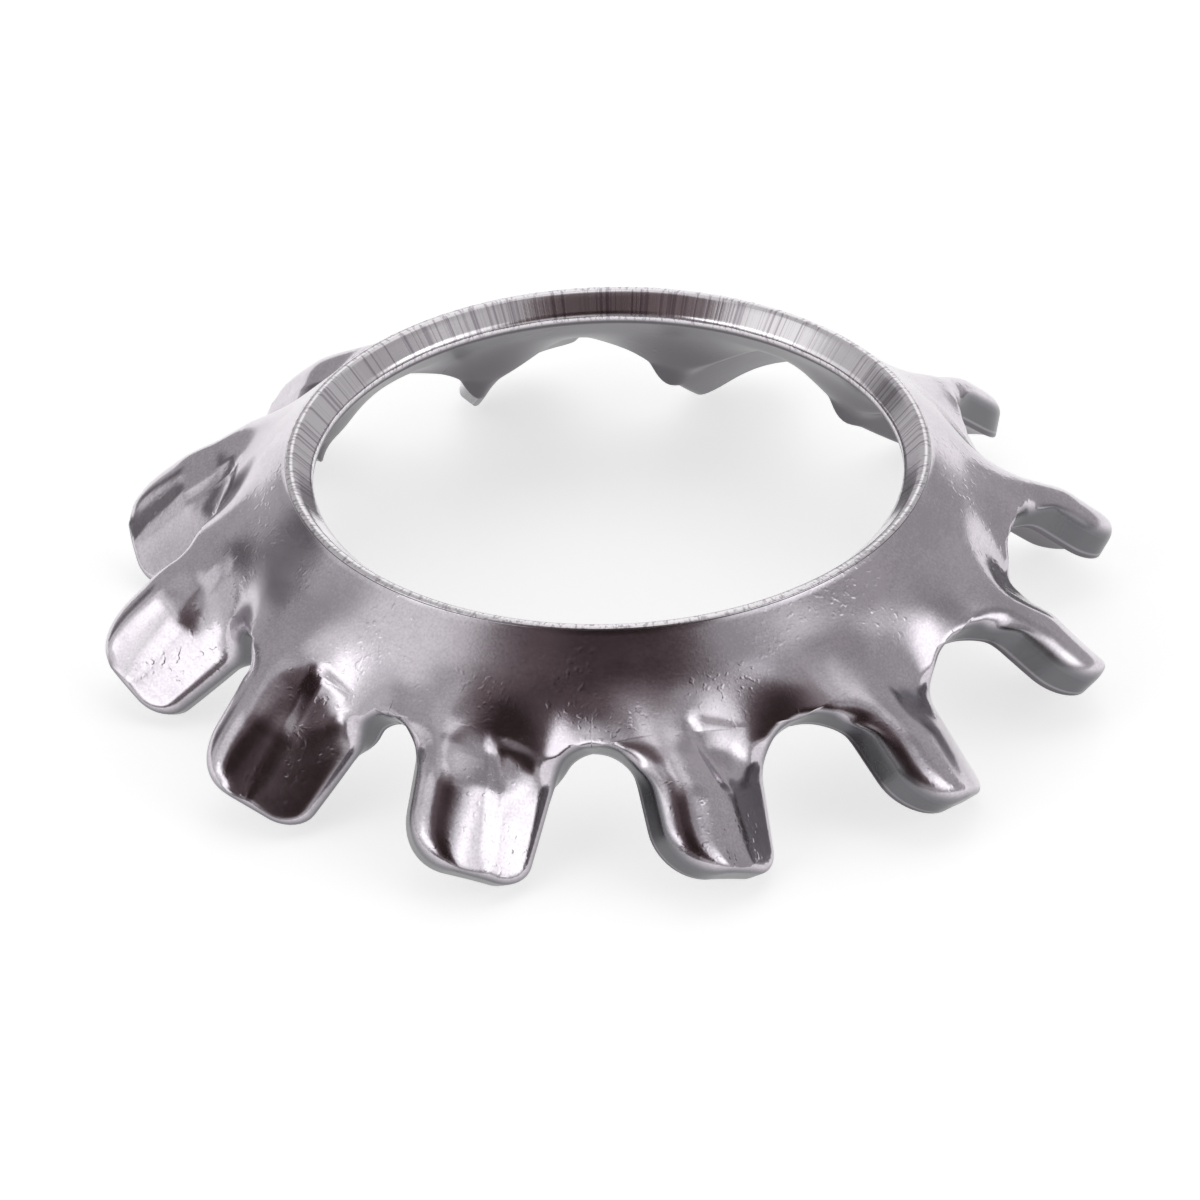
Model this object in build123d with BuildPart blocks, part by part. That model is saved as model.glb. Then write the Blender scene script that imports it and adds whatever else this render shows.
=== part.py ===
from build123d import *
from math import atan2, cos, degrees, hypot, pi, radians, sin, tan
import os

# Toothed lock washer of the countersunk form, with its teeth outside.
# One sheet of spring steel is pierced, notched into teeth and pressed into a cone, and every tooth is
# arched and twisted about its own length. It stands on the tips of its teeth, the small end of the cone up.
# Lengths are in millimetres and angles in degrees.

# Sheet and ring
bore_diameter = 6.4
sheet = 0.4
ring_width = 1.34
cone_slope = 45

# Bore: a narrow straight land at its lower edge, a wall square to the sheet, a rolled upper edge
land_depth = 0.05
rim_roll = 0.09
roll_overshoot = 0.006

# Teeth, with places measured along the sheet from the bore. The twist raises the clockwise side
tooth_count = 12
tooth_length = 1.49
tip_width = 1.36
gullet_radius = 0.44
raised_corner = 0.6
lowered_corner = 0.28
tooth_twist = 30
twist_axis = 0.3
tooth_arch = 0.23
tip_rise = 0.07
twist_start = 0.51
twist_end = 1.72
free_start = 1.42
free_end = 1.84

# Cross sections along one tooth, from inside the bore out to the tip
inner_start = 0.25
ring_shares = (0, 0.4, 0.7, 1)
gullet_shares = (1, 0.5, 0)
blade_shares = (0, 0.5, 1)
points_across = 5
passes = 25

half_sheet = sheet / 2
half_pitch = pi / tooth_count
half_tip = tip_width / 2
slope = radians(cone_slope)
middle_start = bore_diameter / 2 - land_depth + half_sheet * sin(slope)


def middle(place):
    # Radius and height of the sheet's middle, in the plane through the axis and the middle of a tooth
    return middle_start + place * cos(slope), -place * sin(slope)


def smooth(share):
    share = min(max(share, 0), 1)
    return share * share * (3 - 2 * share)


def twist_at(along):
    return radians(tooth_twist) * smooth((along - twist_start) / (twist_end - twist_start))


def free_at(along):
    # Nothing in the ring, where the twist only waves the sheet, and 1 in the tooth, which stays straight
    return smooth((along - free_start) / (free_end - free_start))


def height_at(place, across, side):
    # Height of the sheet's upper face (side 1) or lower face (side -1) in a cross section
    radius = middle(place)[0]
    height = side * half_sheet
    for step in range(passes):
        out = radius + height * sin(slope)
        spread = hypot(out, across) - out
        along = place + spread * cos(slope)
        free = free_at(along)
        lift = tan(twist_at(along))
        swing = atan2(across, out) / half_pitch * pi
        wave = middle(along)[0] * half_pitch / pi * sin(swing)
        lever = wave * (1 - free) + (across - twist_axis) * free
        lean = lift * (cos(swing) * (1 - free) + free)
        rise = tip_rise * (max(along - ring_width, 0) / tooth_length) ** 2
        arch = tooth_arch * (across / half_tip) ** 2 * free
        height = side * half_sheet * hypot(1, lean) - lever * lift + rise - arch - spread * sin(slope)
    return height


def pitch_edge(place, side):
    # How far across a face meets the plane halfway between two teeth
    across = middle(place)[0] * tan(half_pitch)
    for step in range(passes):
        out = middle(place)[0] + height_at(place, across, side) * sin(slope)
        across = out * tan(half_pitch)
    return across


def cut_edge(place, width, side):
    # How far across a face reaches at the cut side of a tooth, which turns with the twist
    twist = twist_at(place)
    turned = width * cos(twist) + side * half_sheet * sin(twist)
    return width + (turned - width) * free_at(place)


def cross_section(place, upper, lower):
    # One cut through the sheet, square to the tooth's length, from the raised to the lowered side
    faces = []
    for side, (start, end) in ((1, upper), (-1, lower)):
        acrosses = [start + (end - start) * i / (points_across - 1) for i in range(points_across)]
        faces.append([(across, height_at(place, across, side)) for across in acrosses])
    above, below = faces
    radius, level = middle(place)
    square = Plane((radius, 0, level), x_dir=(0, 1, 0), z_dir=(cos(slope), 0, -sin(slope)))
    with BuildSketch(square) as cut:
        with BuildLine():
            Spline(*above)
            Line(above[-1], below[-1])
            Spline(*reversed(below))
            Line(below[0], above[0])
        make_face()
    return cut.sketch


def ring_section(place):
    upper = pitch_edge(place, 1)
    lower = pitch_edge(place, -1)
    return cross_section(place, (-upper, upper), (-lower, lower))


def tooth_section(place, width):
    edges = [(cut_edge(place, -width, side), cut_edge(place, width, side)) for side in (1, -1)]
    return cross_section(place, edges[0], edges[1])


# The gullet is a round notch about the plane halfway between two teeth. Seen square to the sheet this
# plane leans away from the tooth's length, so the notch takes up a little less than a quarter turn
gullet_out = middle(ring_width + gullet_radius)[0]
gullet_across = gullet_out * sin(half_pitch)
gullet_place = ring_width + gullet_radius - gullet_out * (1 - cos(half_pitch)) * cos(slope)
notch_turn = pi / 2 - atan2(sin(half_pitch) * cos(slope), cos(half_pitch))
gullet_bottom = gullet_place - gullet_radius * sin(notch_turn)
half_root = gullet_across - gullet_radius
tooth_end = ring_width + tooth_length


def ring_sections():
    for share in ring_shares:
        yield ring_section(-inner_start + (gullet_bottom + inner_start) * share)


def gullet_sections():
    yield ring_section(gullet_bottom)
    for share in gullet_shares[1:]:
        turn = notch_turn * share
        width = gullet_across - gullet_radius * cos(turn)
        yield tooth_section(gullet_place - gullet_radius * sin(turn), width)


def blade_sections():
    for share in blade_shares:
        width = half_root + (half_tip - half_root) * share
        yield tooth_section(gullet_place + (tooth_end - gullet_place) * share, width)


def corner_edges():
    # The two short edges at the tooth's end, the raised one first
    end_face = tooth.faces().filter_by(GeomType.PLANE).sort_by(Axis.X)[-1]
    return end_face.edges().sort_by(Axis.Y)


# One tooth with its share of the ring
with BuildPart() as tooth:
    loft(sections=list(ring_sections()))
    loft(sections=list(gullet_sections()))
    loft(sections=list(blade_sections()))
    fillet(corner_edges()[0], radius=raised_corner)
    fillet(corner_edges()[-1], radius=lowered_corner)

# The bore's outline in the plane through the axis
bore_radius = bore_diameter / 2
normal = (sin(slope), cos(slope))
low_level = -half_sheet * cos(slope)
land_top = low_level + land_depth / tan(slope)
corner_out = middle_start + half_sheet * sin(slope)
corner_level = half_sheet * cos(slope)
roll_out = corner_out + rim_roll * cos(slope) - (rim_roll - roll_overshoot) * sin(slope)
roll_level = corner_level - rim_roll * sin(slope) - (rim_roll - roll_overshoot) * cos(slope)
wall_end = (roll_out - rim_roll * cos(slope), roll_level + rim_roll * sin(slope))
roll_end = (roll_out + rim_roll * sin(slope), roll_level + rim_roll * cos(slope))

with BuildPart() as whole:
    with PolarLocations(0, tooth_count, start_angle=degrees(half_pitch)):
        add(tooth.part)
    with BuildSketch(Plane.XZ):
        with BuildLine():
            Polyline((0, -ring_width), (bore_radius, -ring_width), (bore_radius, land_top), wall_end)
            TangentArc(wall_end, roll_end, tangent=normal)
            Polyline(roll_end, (roll_end[0], ring_width), (0, ring_width), (0, -ring_width))
        make_face()
    revolve(axis=Axis.Z, mode=Mode.SUBTRACT)

# The washer stands on the tips of its teeth
with BuildPart() as washer:
    with Locations((0, 0, -whole.part.bounding_box().min.Z)):
        add(whole.part)

os.makedirs("parts", exist_ok=True)
washer.part.label = "washer"
export_step(washer.part, "parts/washer.step")
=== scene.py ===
import bmesh
import bpy
import numpy as np
from mathutils import Matrix, Vector


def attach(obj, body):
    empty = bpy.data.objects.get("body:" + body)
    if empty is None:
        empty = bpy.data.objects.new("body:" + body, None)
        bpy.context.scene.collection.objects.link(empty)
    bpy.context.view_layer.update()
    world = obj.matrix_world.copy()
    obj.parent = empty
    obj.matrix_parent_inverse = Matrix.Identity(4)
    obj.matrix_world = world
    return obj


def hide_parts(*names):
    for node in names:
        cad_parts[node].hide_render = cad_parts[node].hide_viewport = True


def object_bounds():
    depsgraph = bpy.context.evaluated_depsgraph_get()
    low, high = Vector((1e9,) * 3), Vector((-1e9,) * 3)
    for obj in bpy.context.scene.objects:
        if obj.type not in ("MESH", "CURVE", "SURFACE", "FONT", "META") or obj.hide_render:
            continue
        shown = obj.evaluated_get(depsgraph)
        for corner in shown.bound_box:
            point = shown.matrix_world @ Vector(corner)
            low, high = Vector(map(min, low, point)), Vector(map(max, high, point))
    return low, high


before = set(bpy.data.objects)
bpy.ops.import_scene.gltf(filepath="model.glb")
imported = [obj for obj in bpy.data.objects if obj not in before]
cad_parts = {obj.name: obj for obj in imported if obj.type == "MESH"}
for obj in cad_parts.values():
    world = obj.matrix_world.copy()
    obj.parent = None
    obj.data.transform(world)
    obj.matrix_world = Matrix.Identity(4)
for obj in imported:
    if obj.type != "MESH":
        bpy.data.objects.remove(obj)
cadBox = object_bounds()
print("frame loaded")

mm = 0.001

# Sizes in millimetres and degrees. Those down to freeEnd are the solid's, the rest is only for the looks
washer = {
    "boreDiameter": 6.4,
    "sheet": 0.4,
    "ringWidth": 1.34,
    "coneSlope": 45,
    "landDepth": 0.05,
    "rimRoll": 0.09,
    "rollOvershoot": 0.006,
    "toothCount": 12,
    "toothLength": 1.49,
    "tipWidth": 1.36,
    "gulletRadius": 0.44,
    "raisedCorner": 0.6,
    "loweredCorner": 0.28,
    "toothTwist": 30,
    "twistAxis": 0.3,
    "toothArch": 0.23,
    "tipRise": 0.07,
    "twistStart": 0.51,
    "twistEnd": 1.72,
    "freeStart": 1.42,
    "freeEnd": 1.84,
    "dieRoll": 0.09,  # the upper edge, drawn down where the punch went in
    "raisedRound": 0.42,  # and more of it along the raised side
    "raisedDrop": 0.22,
    # where the upper face of each tooth has taken the tooth's own form: it is softer than the lower one
    "softEnds": (2.08, 2.05, 2.0, 2.05, 2.1, 2.0, 1.93, 2.08, 1.95, 2.0, 2.08, 2.08),
    "burrRound": 0.05,  # the lower edge
    # where the crease on each tooth starts and ends, from the middle, and how deep its valley is
    "creaseRoots": (0.02, -0.02, 0.04, 0.0, 0.03, 0.02, 0.0, 0.1, 0.12, -0.02, -0.04, 0.0),
    "creaseStarts": (1.4, 1.4, 1.4, 1.4, 1.4, 1.25, 1.1, 1.25, 1.38, 1.18, 1.3, 1.4),
    "creaseTips": (0.2, 0.26, 0.22, 0.28, 0.2, 0.24, 0.22, 0.16, 0.26, 0.3, 0.24, 0.2),
    "valleys": (0.02, 0.04, 0.03, 0.045, 0.03, 0.04, 0.02, 0.06, 0.045, 0.07, 0.01, 0.01),
    "grooves": (0.001, 0.014, 0.016, 0.01, 0.014, 0.016, 0.008, 0.01, 0.018, 0.014, 0.001, 0.001),
    "facets": (0.1, 0.5, 0.8, 0.9, 0.9, 1.0, 1.0, 1.0, 1.0, 1.0, 0.1, 0.1),
    # the two facets beside it: how wide they get, how fast they open, and where they are full
    "leafOpens": 3,
    "facetOpens": 4,
    "facetWidth": 1.2,
    "facetRoot": 0.02,
    "facetMargin": 0.08,
    "facetLeast": 0.02,
    "facetFull": 0.3,
    # the groove in the crease, with its start, end and fade as shares of the crease's length
    "grooveWidth": 0.022,
    "grooveStart": 0.06,
    "grooveEnd": 0.97,
    "grooveFade": 0.2,
    # where the valley starts and how wide it and its bank are, the bump's reach, and how far the softer
    # change keeps from the lowered side
    "valleyLead": 0.2,
    "valleyRamp": 0.28,
    "valleyWidth": 0.5,
    "valleyLeast": 0.01,
    "valleyBank": 0.07,
    "bumpLong": 0.2,
    "bumpWide": 0.27,
    "softSide": 0.06,
    "softFade": 0.4,
    # drawn anew for each tooth: the middle, then the least and the most that is added to it
    "leafWidth": (0.5, -0.08, 0.08),
    "leafRound": (0.16, 0, 0.08),
    "valleyEnd": (0.5, -0.06, 0.1),
    "bump": (0.03, -0.006, 0.006),
    "bumpPlace": (1.46, -0.04, 0.04),
    "bumpAcross": (-0.36, -0.05, 0.05),
    "markSeed": 41,
    # shallow waves all over the upper face, each with a turn, a lean, a phase and a size
    "waveCount": 6,
    "waveDepth": 0.0012,
    "waveBase": 5,
    "waveSpread": 4,
    "waveLean": 6,
    "wavePhase": 3,
    # how the marks start from the bore, the cut edges and the next tooth
    "creaseReach": 0.46,
    "creaseLead": 0.4,
    "reliefStart": 0.2,
    "reliefEdge": 0.08,
    "reliefSeam": 0.06,
    "raisedStart": 0.35,
    # what the part attribute says of each part, for the steel: its roughness and shear lines, and the painted shade
    # on the rolled upper edges, the cut walls and the underside
    "edgeFinishAndPaintedShade": 0.9,
    "wallFinishAndPaintedShade": 1,
    "underFinishAndPaintedShade": 2,
    "boreFinish": 4,
    # the grid, with the last rows of the ring closer together
    "columns": 40,
    "ringRows": 24,
    "denseRows": 8,
    "denseReach": 0.18,
    "gulletRows": 14,
    "bladeRows": 10,
    "cornerRows": 14,
    "wallRows": 5,
    "rollRows": 8,
    "passes": 25,
    "mergeDistance": 0.0008,
}

halfSheet = washer["sheet"] / 2
halfPitch = np.pi / washer["toothCount"]
halfTip = washer["tipWidth"] / 2
slope = np.radians(washer["coneSlope"])
slopeSin, slopeCos = np.sin(slope), np.cos(slope)
startRadius = washer["boreDiameter"] / 2 - washer["landDepth"] + halfSheet * slopeSin
toothEnd = washer["ringWidth"] + washer["toothLength"]


def smoothStep(share):
    share = np.clip(share, 0, 1)
    return share * share * (3 - 2 * share)


def middleOf(place):
    # Radius and height of the sheet's middle
    return startRadius + place * slopeCos, -place * slopeSin


def twistAt(along):
    span = washer["twistEnd"] - washer["twistStart"]
    return np.radians(washer["toothTwist"]) * smoothStep((along - washer["twistStart"]) / span)


def freeAt(along):
    return smoothStep((along - washer["freeStart"]) / (washer["freeEnd"] - washer["freeStart"]))


def heightAt(place, across, side):
    # Height of the upper (1) or lower (-1) face over the cone, in the cross section at that place
    radius = middleOf(place)[0]
    height = side * halfSheet + 0 * across
    for step in range(washer["passes"]):
        out = radius + height * slopeSin
        spread = np.hypot(out, across) - out
        along = place + spread * slopeCos
        free = freeAt(along)
        lift = np.tan(twistAt(along))
        swing = np.arctan2(across, out) / halfPitch * np.pi
        wave = middleOf(along)[0] * halfPitch / np.pi * np.sin(swing)
        lever = wave * (1 - free) + (across - washer["twistAxis"]) * free
        lean = lift * (np.cos(swing) * (1 - free) + free)
        rise = washer["tipRise"] * (np.maximum(along - washer["ringWidth"], 0) / washer["toothLength"]) ** 2
        arch = washer["toothArch"] * (across / halfTip) ** 2 * free
        height = side * halfSheet * np.hypot(1, lean) - lever * lift + rise - arch - spread * slopeSin
    return height


# The round notch between two teeth
gulletOut = middleOf(washer["ringWidth"] + washer["gulletRadius"])[0]
gulletAcross = gulletOut * np.sin(halfPitch)
gulletPlace = washer["ringWidth"] + washer["gulletRadius"] - gulletOut * (1 - np.cos(halfPitch)) * slopeCos
notchTurn = np.pi / 2 - np.arctan2(np.sin(halfPitch) * slopeCos, np.cos(halfPitch))
gulletBottom = gulletPlace - washer["gulletRadius"] * np.sin(notchTurn)
halfRoot = gulletAcross - washer["gulletRadius"]


def halfWidth(place, corner):
    straight = halfRoot + (halfTip - halfRoot) * (place - gulletPlace) / (toothEnd - gulletPlace)
    into = np.maximum(place - toothEnd + corner, 0)
    return straight - corner + np.sqrt(np.maximum(corner ** 2 - into ** 2, 0))


def edgeDistance(place, across):
    # How far a point of the flat blank lies inside the cut edge
    radius = washer["gulletRadius"]
    notch = np.hypot(np.minimum(place - gulletPlace, 0), gulletAcross - np.abs(across)) - radius
    corner = np.where(across < 0, washer["raisedCorner"], washer["loweredCorner"])
    straight = halfRoot + (halfTip - halfRoot) * (place - gulletPlace) / (toothEnd - gulletPlace)
    sideGap, endGap = straight - np.abs(across), toothEnd - place
    inCorner = (sideGap < corner) & (endGap < corner)
    cornerGap = corner - np.hypot(corner - sideGap, corner - endGap)
    blade = np.where(inCorner, cornerGap, np.minimum(sideGap, endGap))
    return np.maximum(np.where(place < gulletPlace, notch, blade), 0)


def quarterShares(count):
    return np.sin(np.linspace(0, np.pi / 2, count + 1))


def rowPlaces():
    # Places of the rows along one tooth, and how far each reaches to the raised and the lowered side
    dense = washer["denseRows"]
    bend = gulletBottom - washer["denseReach"]
    ring = np.linspace(washer["rimRoll"], bend, washer["ringRows"] - dense + 1)[:-1]
    ring = np.concatenate([ring, bend + (gulletBottom - bend) * quarterShares(dense)])
    turns = notchTurn * (1 - np.linspace(0, 1, washer["gulletRows"] + 1)[1:])
    gullet = gulletPlace - washer["gulletRadius"] * np.sin(turns)
    gulletReach = gulletAcross - washer["gulletRadius"] * np.cos(turns)
    cornerStart = toothEnd - washer["raisedCorner"]
    blade = np.linspace(gulletPlace, cornerStart, washer["bladeRows"] + 1)[1:]
    tip = cornerStart + washer["raisedCorner"] * quarterShares(washer["cornerRows"])[1:]
    outer = np.concatenate([blade, tip])
    raised = np.concatenate([gulletReach, halfWidth(outer, washer["raisedCorner"])])
    lowered = np.concatenate([gulletReach, halfWidth(outer, washer["loweredCorner"])])
    return ring, np.concatenate([gullet, outer]), raised, lowered


def toothMarks():
    # The punch marked every tooth a little differently
    rng = np.random.default_rng(washer["markSeed"])

    def drawn(name):
        middle, least, most = washer[name]
        return middle + rng.uniform(least, most)

    marks = []
    for tooth in range(washer["toothCount"]):
        marks.append({
            "creaseRoot": washer["creaseRoots"][tooth],
            "creaseTip": washer["creaseTips"][tooth],
            "creaseStart": washer["creaseStarts"][tooth],
            "leafWidth": drawn("leafWidth"),
            "leafRound": drawn("leafRound"),
            "facet": washer["facets"][tooth],
            "groove": washer["grooves"][tooth],
            "valley": washer["valleys"][tooth],
            "valleyEnd": drawn("valleyEnd"),
            "bump": drawn("bump"),
            "bumpPlace": drawn("bumpPlace"),
            "bumpAcross": drawn("bumpAcross"),
            "waves": rng.uniform(-1, 1, (washer["waveCount"], 4)),
        })
    return marks


marksOfTeeth = toothMarks()


def creaseShare(place, tooth):
    start = marksOfTeeth[tooth]["creaseStart"]
    return np.clip((place - start) / (toothEnd - start), 0, 1)


def creaseAt(place, tooth):
    marks = marksOfTeeth[tooth]
    return marks["creaseRoot"] + (marks["creaseTip"] - marks["creaseRoot"]) * creaseShare(place, tooth)


def toothRelief(place, across, tooth):
    # What the press left on the upper face of one tooth: two flat facets that meet in a sharp crease,
    # a short valley beside it at the root and a bump at the root of the raised side
    marks = marksOfTeeth[tooth]
    start = marks["creaseStart"]
    share = creaseShare(place, tooth)
    free = smoothStep((place - washer["freeStart"]) / (washer["softEnds"][tooth] - washer["freeStart"]))

    def arch(spot, share=free):
        return -washer["toothArch"] * (spot / halfTip) ** 2 * share

    crease = creaseAt(place, tooth)
    beyond = across - crease
    left = crease - marks["leafWidth"] * (1 - np.exp(-washer["leafOpens"] * share)) - washer["facetRoot"]
    right = crease + washer["facetWidth"] * (1 - np.exp(-washer["facetOpens"] * share)) + washer["facetRoot"]
    right = np.minimum(halfTip - washer["facetMargin"], right)
    leaf = arch(left) + (arch(crease) - arch(left)) * (across - left) / (crease - left) - arch(across)
    leaf = leaf * smoothStep((across - left) / marks["leafRound"]) * (across > left) * (beyond < 0)
    span = np.maximum(right - crease, washer["facetLeast"])
    facet = arch(crease) + (arch(right) - arch(crease)) * beyond / span - arch(across)
    facet = facet * (beyond >= 0) * (across < right)
    relief = (leaf + facet) * smoothStep(share / washer["facetFull"]) * marks["facet"]
    nearCrease = np.exp(-(beyond / washer["grooveWidth"]) ** 2) * smoothStep(share / washer["grooveStart"])
    grooveFade = smoothStep((washer["grooveEnd"] - share) / washer["grooveFade"])
    relief = relief - marks["groove"] * nearCrease * grooveFade
    valleyStart = smoothStep((place - start + washer["valleyLead"]) / washer["valleyRamp"])
    valley = np.maximum(1 - share / marks["valleyEnd"], 0) * valleyStart
    wide = np.maximum(washer["valleyWidth"] * valley, washer["valleyLeast"])
    bank = smoothStep(1 + beyond / washer["valleyBank"])
    down = np.where(beyond > 0, np.maximum(1 - beyond / wide, 0), bank)
    relief = relief - marks["valley"] * valley * down
    away = ((place - marks["bumpPlace"]) / washer["bumpLong"]) ** 2
    away = away + ((across - marks["bumpAcross"]) / washer["bumpWide"]) ** 2
    relief = relief + marks["bump"] * np.exp(-away)
    # the softer change from ring to tooth, not at the lowered side, where it would lift the edge
    radius = middleOf(place)[0]
    wave = radius * halfPitch / np.pi * np.sin(np.arctan2(across, radius) / halfPitch * np.pi)
    rise = (across - washer["twistAxis"] - wave) * np.tan(twistAt(place)) - arch(across, 1)
    sideFade = smoothStep((halfTip - washer["softSide"] - across) / washer["softFade"])
    relief = relief + (freeAt(place) - free) * rise * sideFade
    for turn, lean, phase, size in marks["waves"]:
        run = place * (washer["waveBase"] + washer["waveSpread"] * turn) + across * (washer["waveLean"] * lean)
        relief = relief + washer["waveDepth"] * size * np.sin(run + washer["wavePhase"] * phase)
    return relief


def sectorSurfaces(tooth):
    # Points of the upper and lower face of one tooth with its share of the ring
    shares = np.sin(np.linspace(-np.pi / 2, np.pi / 2, washer["columns"] + 1))[None]
    ring, outer, raised, lowered = rowPlaces()
    # the middle column follows the crease
    wide, centre = (lowered + raised)[:, None] / 2, (lowered - raised)[:, None] / 2
    aside = (creaseAt(outer, tooth)[:, None] - centre) / wide
    aside = np.clip(aside, -washer["creaseReach"], washer["creaseReach"])
    outerShares = shares + aside * (1 - shares ** 2)
    near = smoothStep((ring - gulletBottom + washer["creaseLead"]) / washer["creaseLead"])[:, None] * aside[0]
    ringShares = shares + near * (1 - shares ** 2)
    faces = []
    for side in (1, -1):
        ringPlace = ring[:, None]
        if side < 0:  # the lower face starts at the land
            landPlace = washer["landDepth"] / slopeCos
            back = smoothStep((ringPlace - ring[0]) / (washer["twistStart"] - ring[0]))
            ringPlace = ringPlace + (landPlace - ring[0]) * (1 - back)
        # rows follow the bore's circle near it and run straight across at the gullets
        arc = 1 - smoothStep((ring[:, None] - ring[0]) / (gulletBottom - ring[0]))
        rowPlace = ringPlace + 0 * ringShares
        for step in range(washer["passes"]):
            ringAcross = middleOf(rowPlace)[0] * np.tan(ringShares * halfPitch)
            out = middleOf(rowPlace)[0] + heightAt(rowPlace, ringAcross, side) * slopeSin
            ringAcross = out * np.tan(ringShares * halfPitch)
            rowPlace = ringPlace - arc * (np.hypot(out, ringAcross) - out) * slopeCos
        ringPlace = rowPlace
        place = outer[:, None]
        free, twist = freeAt(place), twistAt(place)
        ends = []
        for width in (-raised[:, None], lowered[:, None]):
            turned = width * np.cos(twist) + side * halfSheet * np.sin(twist)
            ends.append(width + (turned - width) * free)
        across = (ends[0] + ends[1]) / 2 + (ends[1] - ends[0]) / 2 * outerShares
        places = np.concatenate([ringPlace, place + 0 * across])
        acrosses = np.concatenate([ringAcross, across])
        height = heightAt(places, acrosses, side)
        radius, level = middleOf(places)
        faces.append(np.stack([radius + height * slopeSin, acrosses, level + height * slopeCos], -1))
    blank = np.concatenate([ringAcross, centre + wide * outerShares])
    inside = edgeDistance(places, blank)
    above, below = faces
    down = below - above
    down /= np.linalg.norm(down, axis=-1, keepdims=True)

    def drop(radius):
        return radius * (1 - np.sqrt(1 - (1 - np.minimum(inside / radius, 1)) ** 2))

    fromPlane = halfPitch - np.abs(np.arctan2(above[..., 1], above[..., 0]))
    fade = smoothStep((places - washer["rimRoll"]) / washer["reliefStart"])
    fade = fade * smoothStep(inside / washer["reliefEdge"])
    fade = fade * np.where(places < gulletBottom, smoothStep(fromPlane / washer["reliefSeam"]), 1)
    relief = toothRelief(places, blank, tooth) * fade
    # the raised side is rounded more, from the gullet out
    beside = np.concatenate([np.full(ringAcross.shape, washer["raisedRound"]), wide + wide * outerShares])
    rounded = 1 - np.minimum(beside / washer["raisedRound"], 1)
    rounded = washer["raisedDrop"] * (1 - np.sqrt(1 - rounded ** 2))
    rounded = rounded * smoothStep((places - gulletBottom) / washer["raisedStart"])
    above = above + down * (np.maximum(drop(washer["dieRoll"]), rounded) - relief)[..., None]
    below = below - down * drop(washer["burrRound"])[..., None]
    for surface in (above, below):  # both ends of a ring row are the same point of the washer
        ends = surface[:len(ring), [0, -1]]
        radius, level = np.hypot(ends[..., 0], ends[..., 1]).mean(1), ends[..., 2].mean(1)
        for column, turn in ((0, -halfPitch), (-1, halfPitch)):
            surface[:len(ring), column] = np.stack([radius * np.cos(turn), radius * np.sin(turn), level], -1)
    # the rolled upper edges get the cut walls' value, fading inwards: painted shade along the edges, and rougher
    # steel there
    edge = washer["edgeFinishAndPaintedShade"] * (1 - np.minimum(inside / washer["dieRoll"], 1))
    return above, below, edge, len(ring)


def boreProfile():
    # Radius and height up the bore: the top of the land, the wall square to the sheet and the rolled edge,
    # up to the point before the upper face
    boreRadius = washer["boreDiameter"] / 2
    landTop = (boreRadius, -halfSheet * slopeCos + washer["landDepth"] / np.tan(slope))
    roll, inset = washer["rimRoll"], washer["rimRoll"] - washer["rollOvershoot"]
    cornerOut, cornerLevel = startRadius + halfSheet * slopeSin, halfSheet * slopeCos
    rollOut = cornerOut + roll * slopeCos - inset * slopeSin
    rollLevel = cornerLevel - roll * slopeSin - inset * slopeCos
    points = [landTop]
    wallEnd = (rollOut - roll * slopeCos, rollLevel + roll * slopeSin)
    for share in np.linspace(0, 1, washer["wallRows"] + 1)[1:-1]:
        points.append(tuple(np.array(landTop) * (1 - share) + np.array(wallEnd) * share))
    for share in np.linspace(0, 1, washer["rollRows"] + 1)[:-1]:
        turn = np.pi / 2 * share - slope
        points.append((rollOut + roll * np.sin(turn), rollLevel + roll * np.cos(turn)))
    return points, rollLevel + roll


def turned(points, angle):
    x, y, z = points[..., 0], points[..., 1], points[..., 2]
    return np.stack([x * np.cos(angle) - y * np.sin(angle), x * np.sin(angle) + y * np.cos(angle), z], -1)


def gridFaces(index):
    corners = [index[:-1, :-1], index[1:, :-1], index[1:, 1:], index[:-1, 1:]]
    return np.stack(corners, -1).reshape(-1, 4)


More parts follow.
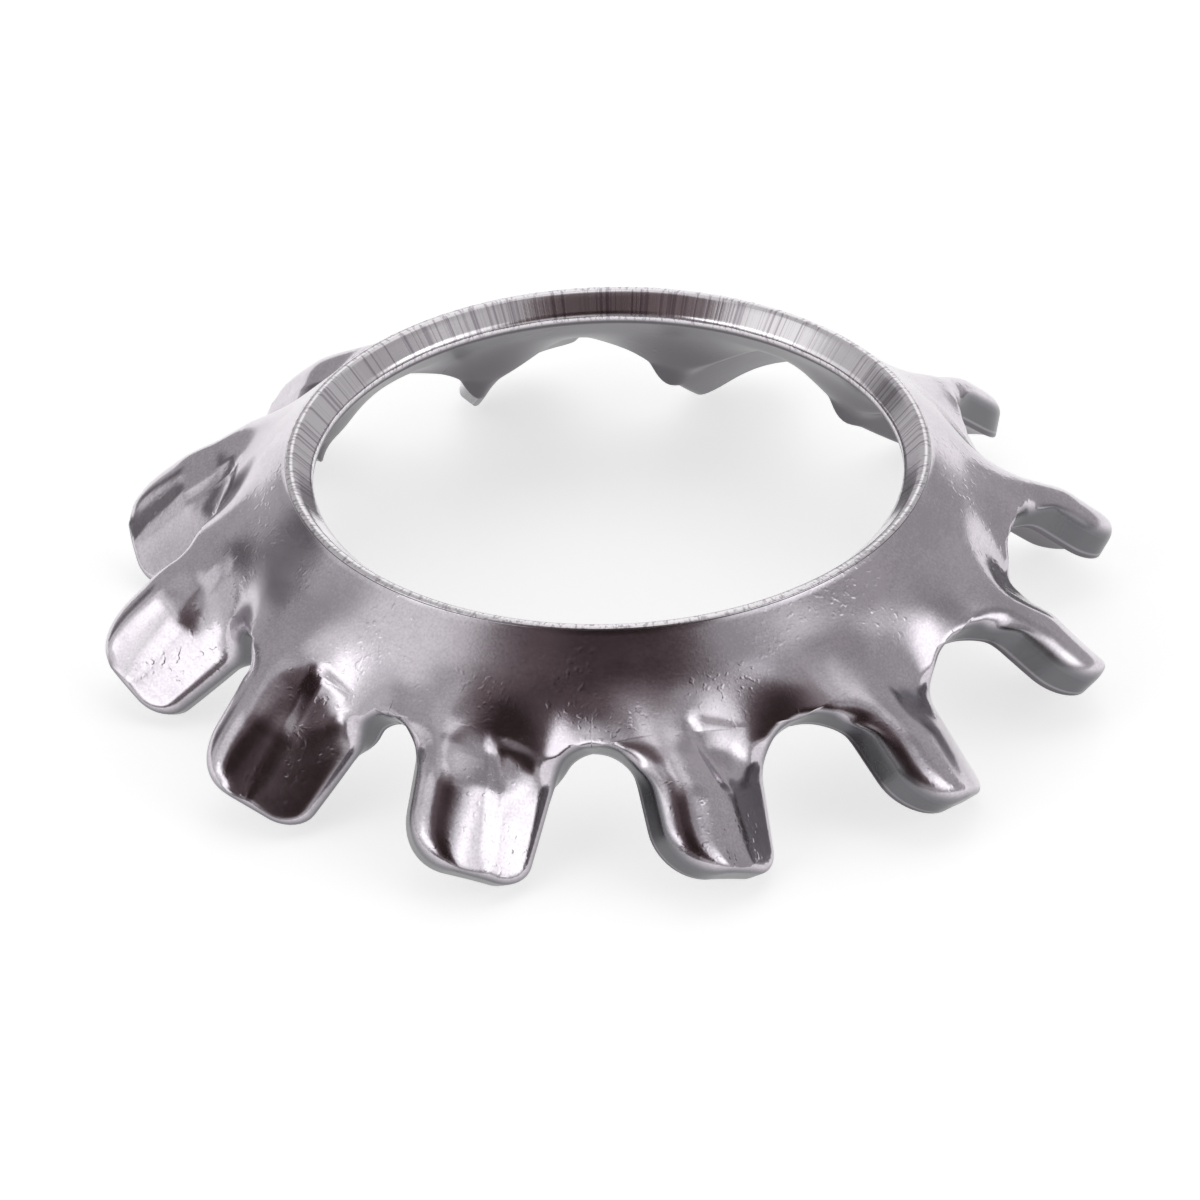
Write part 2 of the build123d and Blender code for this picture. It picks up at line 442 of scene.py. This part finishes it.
def buildWasher():
    count, columns = washer["toothCount"], washer["columns"]
    profile, topLevel = boreProfile()
    lift = cadBox[1].z / mm - topLevel
    vertices, faces, finishAndShadeValues = [], [], []
    ringAbove, ringBelow = [], []
    total = 0
    for tooth in range(count):
        angle = halfPitch + 2 * halfPitch * tooth
        above, below, edge, ringCount = sectorSurfaces(tooth)
        rows = above.shape[0]
        indexes = []
        for surface in (above, below):
            vertices.append(turned(surface, angle).reshape(-1, 3))
            # the upper face carries the painted shade of its rolled edges, the lower face the underside's painted
            # shade
            finishAndShadeValues.append(edge.ravel() if surface is above else 0 * edge.ravel() + washer["underFinishAndPaintedShade"])
            indexes.append(total + np.arange(rows * (columns + 1)).reshape(rows, columns + 1))
            total += rows * (columns + 1)
        faces.append(gridFaces(indexes[0]))
        faces.append(gridFaces(indexes[1])[:, ::-1])
        # the cut edge runs out along the raised side, over the tip and back along the lowered side
        start = ringCount - 1
        edges = []
        for index in indexes:
            side, back = index[start:, 0], index[start:, -1][::-1]
            edges.append(np.concatenate([side, index[-1, 1:-1], back]))
        highest = turned(above, angle).reshape(-1, 3)[edges[0] - indexes[0][0, 0]]
        lowest = turned(below, angle).reshape(-1, 3)[edges[1] - indexes[1][0, 0]]
        strip = [edges[0]]
        # the wall rows carry the cut walls' value, with its painted shade
        for share in np.linspace(0, 1, washer["wallRows"] + 1)[1:-1]:
            vertices.append(highest * (1 - share) + lowest * share)
            finishAndShadeValues.append(np.full(len(highest), washer["wallFinishAndPaintedShade"] + share))
            strip.append(total + np.arange(len(highest)))
            total += len(highest)
        strip.append(edges[1])
        faces.append(gridFaces(np.array(strip)))
        ringAbove.append(indexes[0][0])
        ringBelow.append(indexes[1][0])
    # the bore joins the first rows of both faces
    shares = np.sin(np.linspace(-np.pi / 2, np.pi / 2, columns + 1))[:-1]
    angles = (halfPitch + 2 * halfPitch * np.arange(count)[:, None] + shares[None] * halfPitch).ravel()
    strip = [np.concatenate([row[:-1] for row in ringBelow])]
    for radius, level in profile:
        ring = np.stack([radius * np.cos(angles), radius * np.sin(angles), level + 0 * angles], -1)
        vertices.append(ring)
        finishAndShadeValues.append(np.full(len(angles), washer["boreFinish"]))
        strip.append(total + np.arange(len(angles)))
        total += len(angles)
    strip.append(np.concatenate([row[:-1] for row in ringAbove]))
    strip = np.array(strip)
    strip = np.concatenate([strip, strip[:, :1]], 1)
    faces.append(gridFaces(strip))
    vertices = np.concatenate(vertices)
    faces = np.concatenate(faces)
    vertices[:, 2] += lift
    mesh = bpy.data.meshes.new("washerSheet")
    mesh.from_pydata((vertices * mm).tolist(), [], faces.tolist())
    finishAndPaintedShade = mesh.attributes.new("finishAndPaintedShade", "FLOAT", "POINT")
    finishAndPaintedShade.data.foreach_set("value", np.concatenate(finishAndShadeValues).astype(np.float32))
    # neighbouring teeth share the points of the plane between them
    joined = bmesh.new()
    joined.from_mesh(mesh)
    bmesh.ops.remove_doubles(joined, verts=joined.verts, dist=washer["mergeDistance"] * mm)
    joined.to_mesh(mesh)
    joined.free()
    mesh.shade_smooth()
    piece = bpy.data.objects.new("washer_sheet", mesh)
    bpy.context.scene.collection.objects.link(piece)
    return piece


class Value:
    # A number socket that turns Python maths into Math nodes
    def __init__(self, shader, socket):
        self.shader = shader
        self.socket = socket

    def maths(self, operation, *others):
        sockets = [self] + list(others)
        return self.shader.number("ShaderNodeMath", {"operation": operation}, sockets)

    def __add__(self, other):
        return self.maths("ADD", other)

    def __radd__(self, other):
        return self + other

    def __sub__(self, other):
        return self.maths("SUBTRACT", other)

    def __rsub__(self, other):
        return self * -1 + other

    def __mul__(self, other):
        return self.maths("MULTIPLY", other)

    def __rmul__(self, other):
        return self * other

    def __truediv__(self, other):
        return self.maths("DIVIDE", other)

    def __pow__(self, other):
        return self.maths("POWER", other)


class Shader:
    # The nodes of one material
    def __init__(self, name):
        self.material = bpy.data.materials.new(name)
        self.material.use_nodes = True
        self.tree = self.material.node_tree
        self.tree.nodes.clear()

    def node(self, kind, settings=None, inputs=None):
        made = self.tree.nodes.new(kind)
        for name, value in (settings or {}).items():
            setattr(made, name, value)
        pairs = (inputs or {}).items() if isinstance(inputs, dict) else enumerate(inputs or [])
        for name, value in pairs:
            if isinstance(value, Value):
                value = value.socket
            if isinstance(value, bpy.types.NodeSocket):
                self.tree.links.new(value, made.inputs[name])
            else:
                made.inputs[name].default_value = value
        return made

    def number(self, kind, settings, inputs, output=0):
        return Value(self, self.node(kind, settings, inputs).outputs[output])


# Colours, roughness, and the sizes and depths of its marks in millimetres
steel = {
    "bright": (0.72, 0.675, 0.725, 1),
    "dull": (0.57, 0.53, 0.58, 1),
    "bore": (0.95, 0.92, 0.95, 1),
    # the cut walls: duller sheared steel, made darker still as painted shade for the shaded floor they face
    "sheared": (0.16, 0.16, 0.17, 1),
    # the underside: the same plating as the upper face, darkened as painted shade for the shadow under the washer
    "underPaintedShade": (0.15, 0.142, 0.155, 1),
    "roughness": 0.09,
    "cloudRoughness": 0.14,
    "underRoughness": 0.15,
    "wallRoughness": 0.12,
    "detail": 2.0,
    "richDetail": 3.0,
    "dentDetail": 1.0,
    "cloudSize": 0.8,
    "patchSize": 0.9,
    "patchEdges": (0.46, 0.62),
    "toneShares": (0.5, 0.15, 0.35),  # of the clouds, the streaks and the grain
    "toneEdges": (0.38, 0.62),
    "dentSize": 0.075,
    "dentEdges": (0.56, 0.76),
    "dentDepth": 0.0016,
    "grainSize": 0.03,
    "grainDepth": 0.0004,
    "streakShort": 0.05,
    "streakLong": 0.3,
    "streakDepth": 0.00015,
    "lineSize": 0.05,
    "lineDepth": 0.0012,
    "lineEdges": (0.48, 0.66),
    "lineCircle": 0.7,  # of the bore's diameter
    # between which values of the part attribute each part begins, for its colour, painted shade included, and its
    # roughness
    "wallEdges": (0.1, 1.0),
    "underEdges": (1.8, 1.98),
    "boreEdges": (2.2, 3.6),
}


def steelMaterial():
    shader = Shader("plated_steel")
    place = shader.node("ShaderNodeTexCoord").outputs["Object"]

    def noise(size, spot=place, detail=steel["detail"]):
        scaled = shader.node("ShaderNodeVectorMath", {"operation": "SCALE"}, {0: spot, "Scale": 1 / (size * mm)})
        inputs = {"Vector": scaled.outputs[0], "Scale": 1.0, "Detail": detail}
        return shader.number("ShaderNodeTexNoise", {}, inputs, "Fac")

    def step(value, low, high):
        inputs = {"Value": value, "From Min": low, "From Max": high}
        return shader.number("ShaderNodeMapRange", {"interpolation_type": "SMOOTHSTEP"}, inputs, "Result")

    def mixed(factor, first, second):
        # The Mix node's colours are its inputs 6 and 7 and its output 2
        inputs = {"Factor": factor, 6: first, 7: second}
        return shader.node("ShaderNodeMix", {"data_type": "RGBA"}, inputs).outputs[2]

    # the shears left lines square to the sheet: their place doesn't change through its thickness
    x, y, z = (shader.number("ShaderNodeSeparateXYZ", {}, {"Vector": place}, axis) for axis in "XYZ")
    out = (x * x + y * y) ** 0.5
    circle = washer["boreDiameter"] * steel["lineCircle"] * mm
    sheared = shader.node("ShaderNodeCombineXYZ", {}, [x / out * circle, y / out * circle, (out - z) * slopeCos])
    lines = noise(steel["lineSize"], sheared.outputs[0])
    # rolling and barrel polishing left streaks along the ring
    circle = circle * steel["streakShort"] / steel["streakLong"]
    brushed = shader.node("ShaderNodeCombineXYZ", {}, [x / out * circle, y / out * circle, (out - z) * slopeCos])
    streaks = noise(steel["streakShort"], brushed.outputs[0], steel["richDetail"])

    # the part attribute picks the bore, the underside and the cut walls with the rolled upper edges; the last two
    # get rougher steel and painted shade
    finishAndPaintedShade = shader.number("ShaderNodeAttribute", {"attribute_name": "finishAndPaintedShade"}, {}, "Fac")
    inBore = step(finishAndPaintedShade, *steel["boreEdges"])
    underside = step(finishAndPaintedShade, *steel["underEdges"]) * (1 - inBore)
    cutWall = step(finishAndPaintedShade, *steel["wallEdges"]) * (1 - step(finishAndPaintedShade, *steel["underEdges"]))
    clouds = noise(steel["cloudSize"], detail=steel["richDetail"])
    patches = step(noise(steel["patchSize"]), *steel["patchEdges"])
    dents = step(noise(steel["dentSize"], detail=steel["dentDetail"]), *steel["dentEdges"])
    grain = noise(steel["grainSize"])
    cloudShare, streakShare, grainShare = steel["toneShares"]
    tone = clouds * cloudShare + streaks * streakShare + grain * grainShare
    colour = mixed(step(tone, *steel["toneEdges"]), steel["dull"], steel["bright"])
    # painted shade: the underside is coloured darker than the upper face, though it is the same plating
    colour = mixed(underside, colour, steel["underPaintedShade"])
    # the cut walls: duller sheared steel, darkened further as painted shade; this colour also fades in over the
    # rolled upper edges as painted shade
    colour = mixed(cutWall, colour, steel["sheared"])
    colour = mixed(inBore, colour, mixed(step(lines, *steel["lineEdges"]), steel["bore"], steel["dull"]))
    roughness = steel["roughness"] + steel["cloudRoughness"] * clouds
    roughness = roughness + steel["underRoughness"] * underside + steel["wallRoughness"] * cutWall
    depth = dents * patches * (1 - cutWall) * (1 - inBore) * steel["dentDepth"]
    depth = depth + grain * steel["grainDepth"] + streaks * steel["streakDepth"]
    depth = depth + lines * (cutWall + inBore) * steel["lineDepth"]
    bump = shader.node("ShaderNodeBump", {}, {"Strength": 1.0, "Distance": mm, "Height": depth})
    surface = shader.node("ShaderNodeBsdfPrincipled", {}, {
        "Base Color": colour,
        "Metallic": 1.0,
        "Roughness": roughness,
        "Normal": bump.outputs[0],
    })
    shader.node("ShaderNodeOutputMaterial", {}, {"Surface": surface.outputs[0]})
    return shader.material


# Lengths in metres
studio = {
    "tentRadius": 0.4,
    "tentColumns": 120,
    "tentRows": 60,
    "cloth": (0.43, 0.425, 0.43),
    # azimuth and elevation of the middle, half width and half height and soft edge in degrees, then the
    # brightness in red, green and blue
    "panels": [
        (0, 90, 181, 26, 8, (0.6, 0.6, 0.6)),
        (0, 90, 181, 9, 5, (0.98, 0.98, 0.98)),
        (60, 60, 50, 11, 8, (0.82, 0.82, 0.82)),
        (-132, 79, 34, 6, 5, (0.36, 0.35, 0.36)),
        (88, 20, 11, 44, 6, (0.92, 0.92, 0.92)),
        (168, 13, 9, 14, 5, (0.7, 0.7, 0.7)),
        (151, 15, 9, 11, 5, (0.16, 0.155, 0.16)),
        (-160, 28, 22, 26, 7, (0.84, 0.84, 0.84)),
        (-21, 27, 25, 17, 7, (1.04, 1.04, 1.05)),
        (8, 42, 18, 12, 9, (0.33, 0.32, 0.33)),
        (-84, 71, 62, 9, 8, (0.26, 0.23, 0.235)),
        (-90, 42, 41, 27, 7, (0.11, 0.081, 0.085)),
        (-128, 58, 17, 9, 8, (0.13, 0.10, 0.105)),
        (-84, 40, 22, 18, 10, (0.03, 0.02, 0.02)),
        (-108, 2, 24, 14, 7, (0.16, 0.14, 0.145)),
        (-60, 4, 24, 11, 6, (0.48, 0.47, 0.47)),
        (-142, 24, 22, 9, 6, (1.75, 1.75, 1.75)),
        (-16, 24, 14, 10, 6, (1.75, 1.75, 1.75)),
    ],
    "floorRadius": 0.39,
    "floorCorners": 96,
    "floorDiffuse": 0.75,
    "floorGlow": 0.65,
}


def lightTent():
    # A round tent about the washer, unseen by the camera, with brighter and darker panels on its wall
    azimuth = np.linspace(-np.pi, np.pi, studio["tentColumns"] + 1)[:-1]
    elevation = np.linspace(-np.pi / 2, np.pi / 2, studio["tentRows"] + 1)
    az, el = np.meshgrid(azimuth, elevation)
    points = np.stack([np.cos(az) * np.cos(el), np.sin(az) * np.cos(el), np.sin(el)], -1)
    glow = np.zeros(az.shape + (3,)) + studio["cloth"]
    for centreAz, centreEl, halfWide, halfHigh, soft, light in studio["panels"]:
        sideways = np.degrees(np.abs((az - np.radians(centreAz) + np.pi) % (2 * np.pi) - np.pi))
        upwards = np.abs(np.degrees(el) - centreEl)
        mask = smoothStep((halfWide + soft - sideways) / (2 * soft))
        mask = (mask * smoothStep((halfHigh + soft - upwards) / (2 * soft)))[..., None]
        glow = glow * (1 - mask) + np.array(light) * mask
    index = np.arange(az.size).reshape(az.shape)
    index = np.concatenate([index, index[:, :1]], 1)
    mesh = bpy.data.meshes.new("lightTent")
    mesh.from_pydata((points.reshape(-1, 3) * studio["tentRadius"]).tolist(), [], gridFaces(index).tolist())
    mesh.update()
    light = mesh.attributes.new("panelLight", "FLOAT_COLOR", "POINT")
    light.data.foreach_set("color", np.concatenate([glow, np.ones(az.shape + (1,))], -1).ravel().astype(np.float32))
    tent = bpy.data.objects.new("light_tent", mesh)
    bpy.context.scene.collection.objects.link(tent)
    shader = Shader("tent_cloth")
    colour = shader.node("ShaderNodeAttribute", {"attribute_name": "panelLight"}).outputs["Color"]
    shine = shader.node("ShaderNodeEmission", {}, {"Color": colour, "Strength": 1.0})
    shader.node("ShaderNodeOutputMaterial", {}, {"Surface": shine.outputs[0]})
    shader.material.cycles.emission_sampling = "NONE"
    mesh.materials.append(shader.material)
    tent.visible_camera = False


def studioFloor():
    # A pale sheet that stays white where nothing shades it
    corners = studio["floorCorners"]
    angles = np.linspace(0, 2 * np.pi, corners + 1)[:-1]
    ring = [(np.cos(a) * studio["floorRadius"], np.sin(a) * studio["floorRadius"], 0) for a in angles]
    mesh = bpy.data.meshes.new("studioFloor")
    mesh.from_pydata(ring, [], [list(range(corners))])
    floor = bpy.data.objects.new("studio_floor", mesh)
    bpy.context.scene.collection.objects.link(floor)
    shader = Shader("pale_paper")
    paper = shader.node("ShaderNodeBsdfDiffuse", {}, {"Color": (studio["floorDiffuse"],) * 3 + (1,)})
    glow = shader.node("ShaderNodeEmission", {}, {"Strength": studio["floorGlow"]})
    both = shader.node("ShaderNodeAddShader", {}, [paper.outputs[0], glow.outputs[0]])
    shader.node("ShaderNodeOutputMaterial", {}, {"Surface": both.outputs[0]})
    shader.material.cycles.emission_sampling = "NONE"
    mesh.materials.append(shader.material)


def paleWorld():
    world = bpy.data.worlds.new("paleWorld")
    bpy.context.scene.world = world
    world.use_nodes = True
    background = world.node_tree.nodes["Background"]
    background.inputs["Color"].default_value = (1, 1, 1, 1)
    background.inputs["Strength"].default_value = 1


# Where the photograph was taken from, in degrees and millimetres, with the sensor as wide. The aim is the
# middle of the rim, the pixels are those of a picture 1200 pixels wide, and the clip distances are in metres
view = {
    "azimuth": 3.365,
    "elevation": 32.0,
    "roll": 1.527,
    "distance": 136,
    "pixelsPerMm": 92.55,
    "aimOverRim": 0.0596,
    "aimPixel": (607.7, 448.4),
    "pictureSize": 1200,
    "sensor": 36,
    "clipStart": 0.01,
    "clipEnd": 2,
}


def placeCamera():
    azimuth, elevation, roll = (np.radians(view[name]) for name in ("azimuth", "elevation", "roll"))
    back = Vector((np.sin(azimuth) * np.cos(elevation), -np.cos(azimuth) * np.cos(elevation), np.sin(elevation)))
    right = Vector((np.cos(azimuth), np.sin(azimuth), 0))
    up = back.cross(right)
    aim = Vector((0, 0, cadBox[1].z + view["aimOverRim"] * mm))
    place = aim + back * view["distance"] * mm
    middle = view["pictureSize"] / 2
    across = (middle - view["aimPixel"][0]) / view["pixelsPerMm"] * mm
    upward = (view["aimPixel"][1] - middle) / view["pixelsPerMm"] * mm
    pictureRight = right * np.cos(roll) - up * np.sin(roll)
    pictureUp = right * np.sin(roll) + up * np.cos(roll)
    seen = aim + pictureRight * across + pictureUp * upward
    axisZ = (place - seen).normalized()
    axisY = (pictureUp - axisZ * pictureUp.dot(axisZ)).normalized()
    axisX = axisY.cross(axisZ)
    lens = bpy.data.cameras.new("productLens")
    lens.sensor_width = view["sensor"]
    lens.lens = view["pixelsPerMm"] * view["distance"] / view["pictureSize"] * view["sensor"]
    lens.clip_start = view["clipStart"]
    lens.clip_end = view["clipEnd"]
    camera = bpy.data.objects.new("product_camera", lens)
    camera.matrix_world = Matrix.Translation(place) @ Matrix((axisX, axisY, axisZ)).transposed().to_4x4()
    bpy.context.scene.collection.objects.link(camera)
    bpy.context.scene.camera = camera


placeCamera()
print("camera placed")

piece = buildWasher()
piece.data.materials.append(steelMaterial())
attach(piece, "root")
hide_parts("washer")
print("washer built:", len(piece.data.polygons), "faces")

studioFloor()
lightTent()
paleWorld()
bpy.context.scene.view_settings.view_transform = "Standard"
print("studio set")
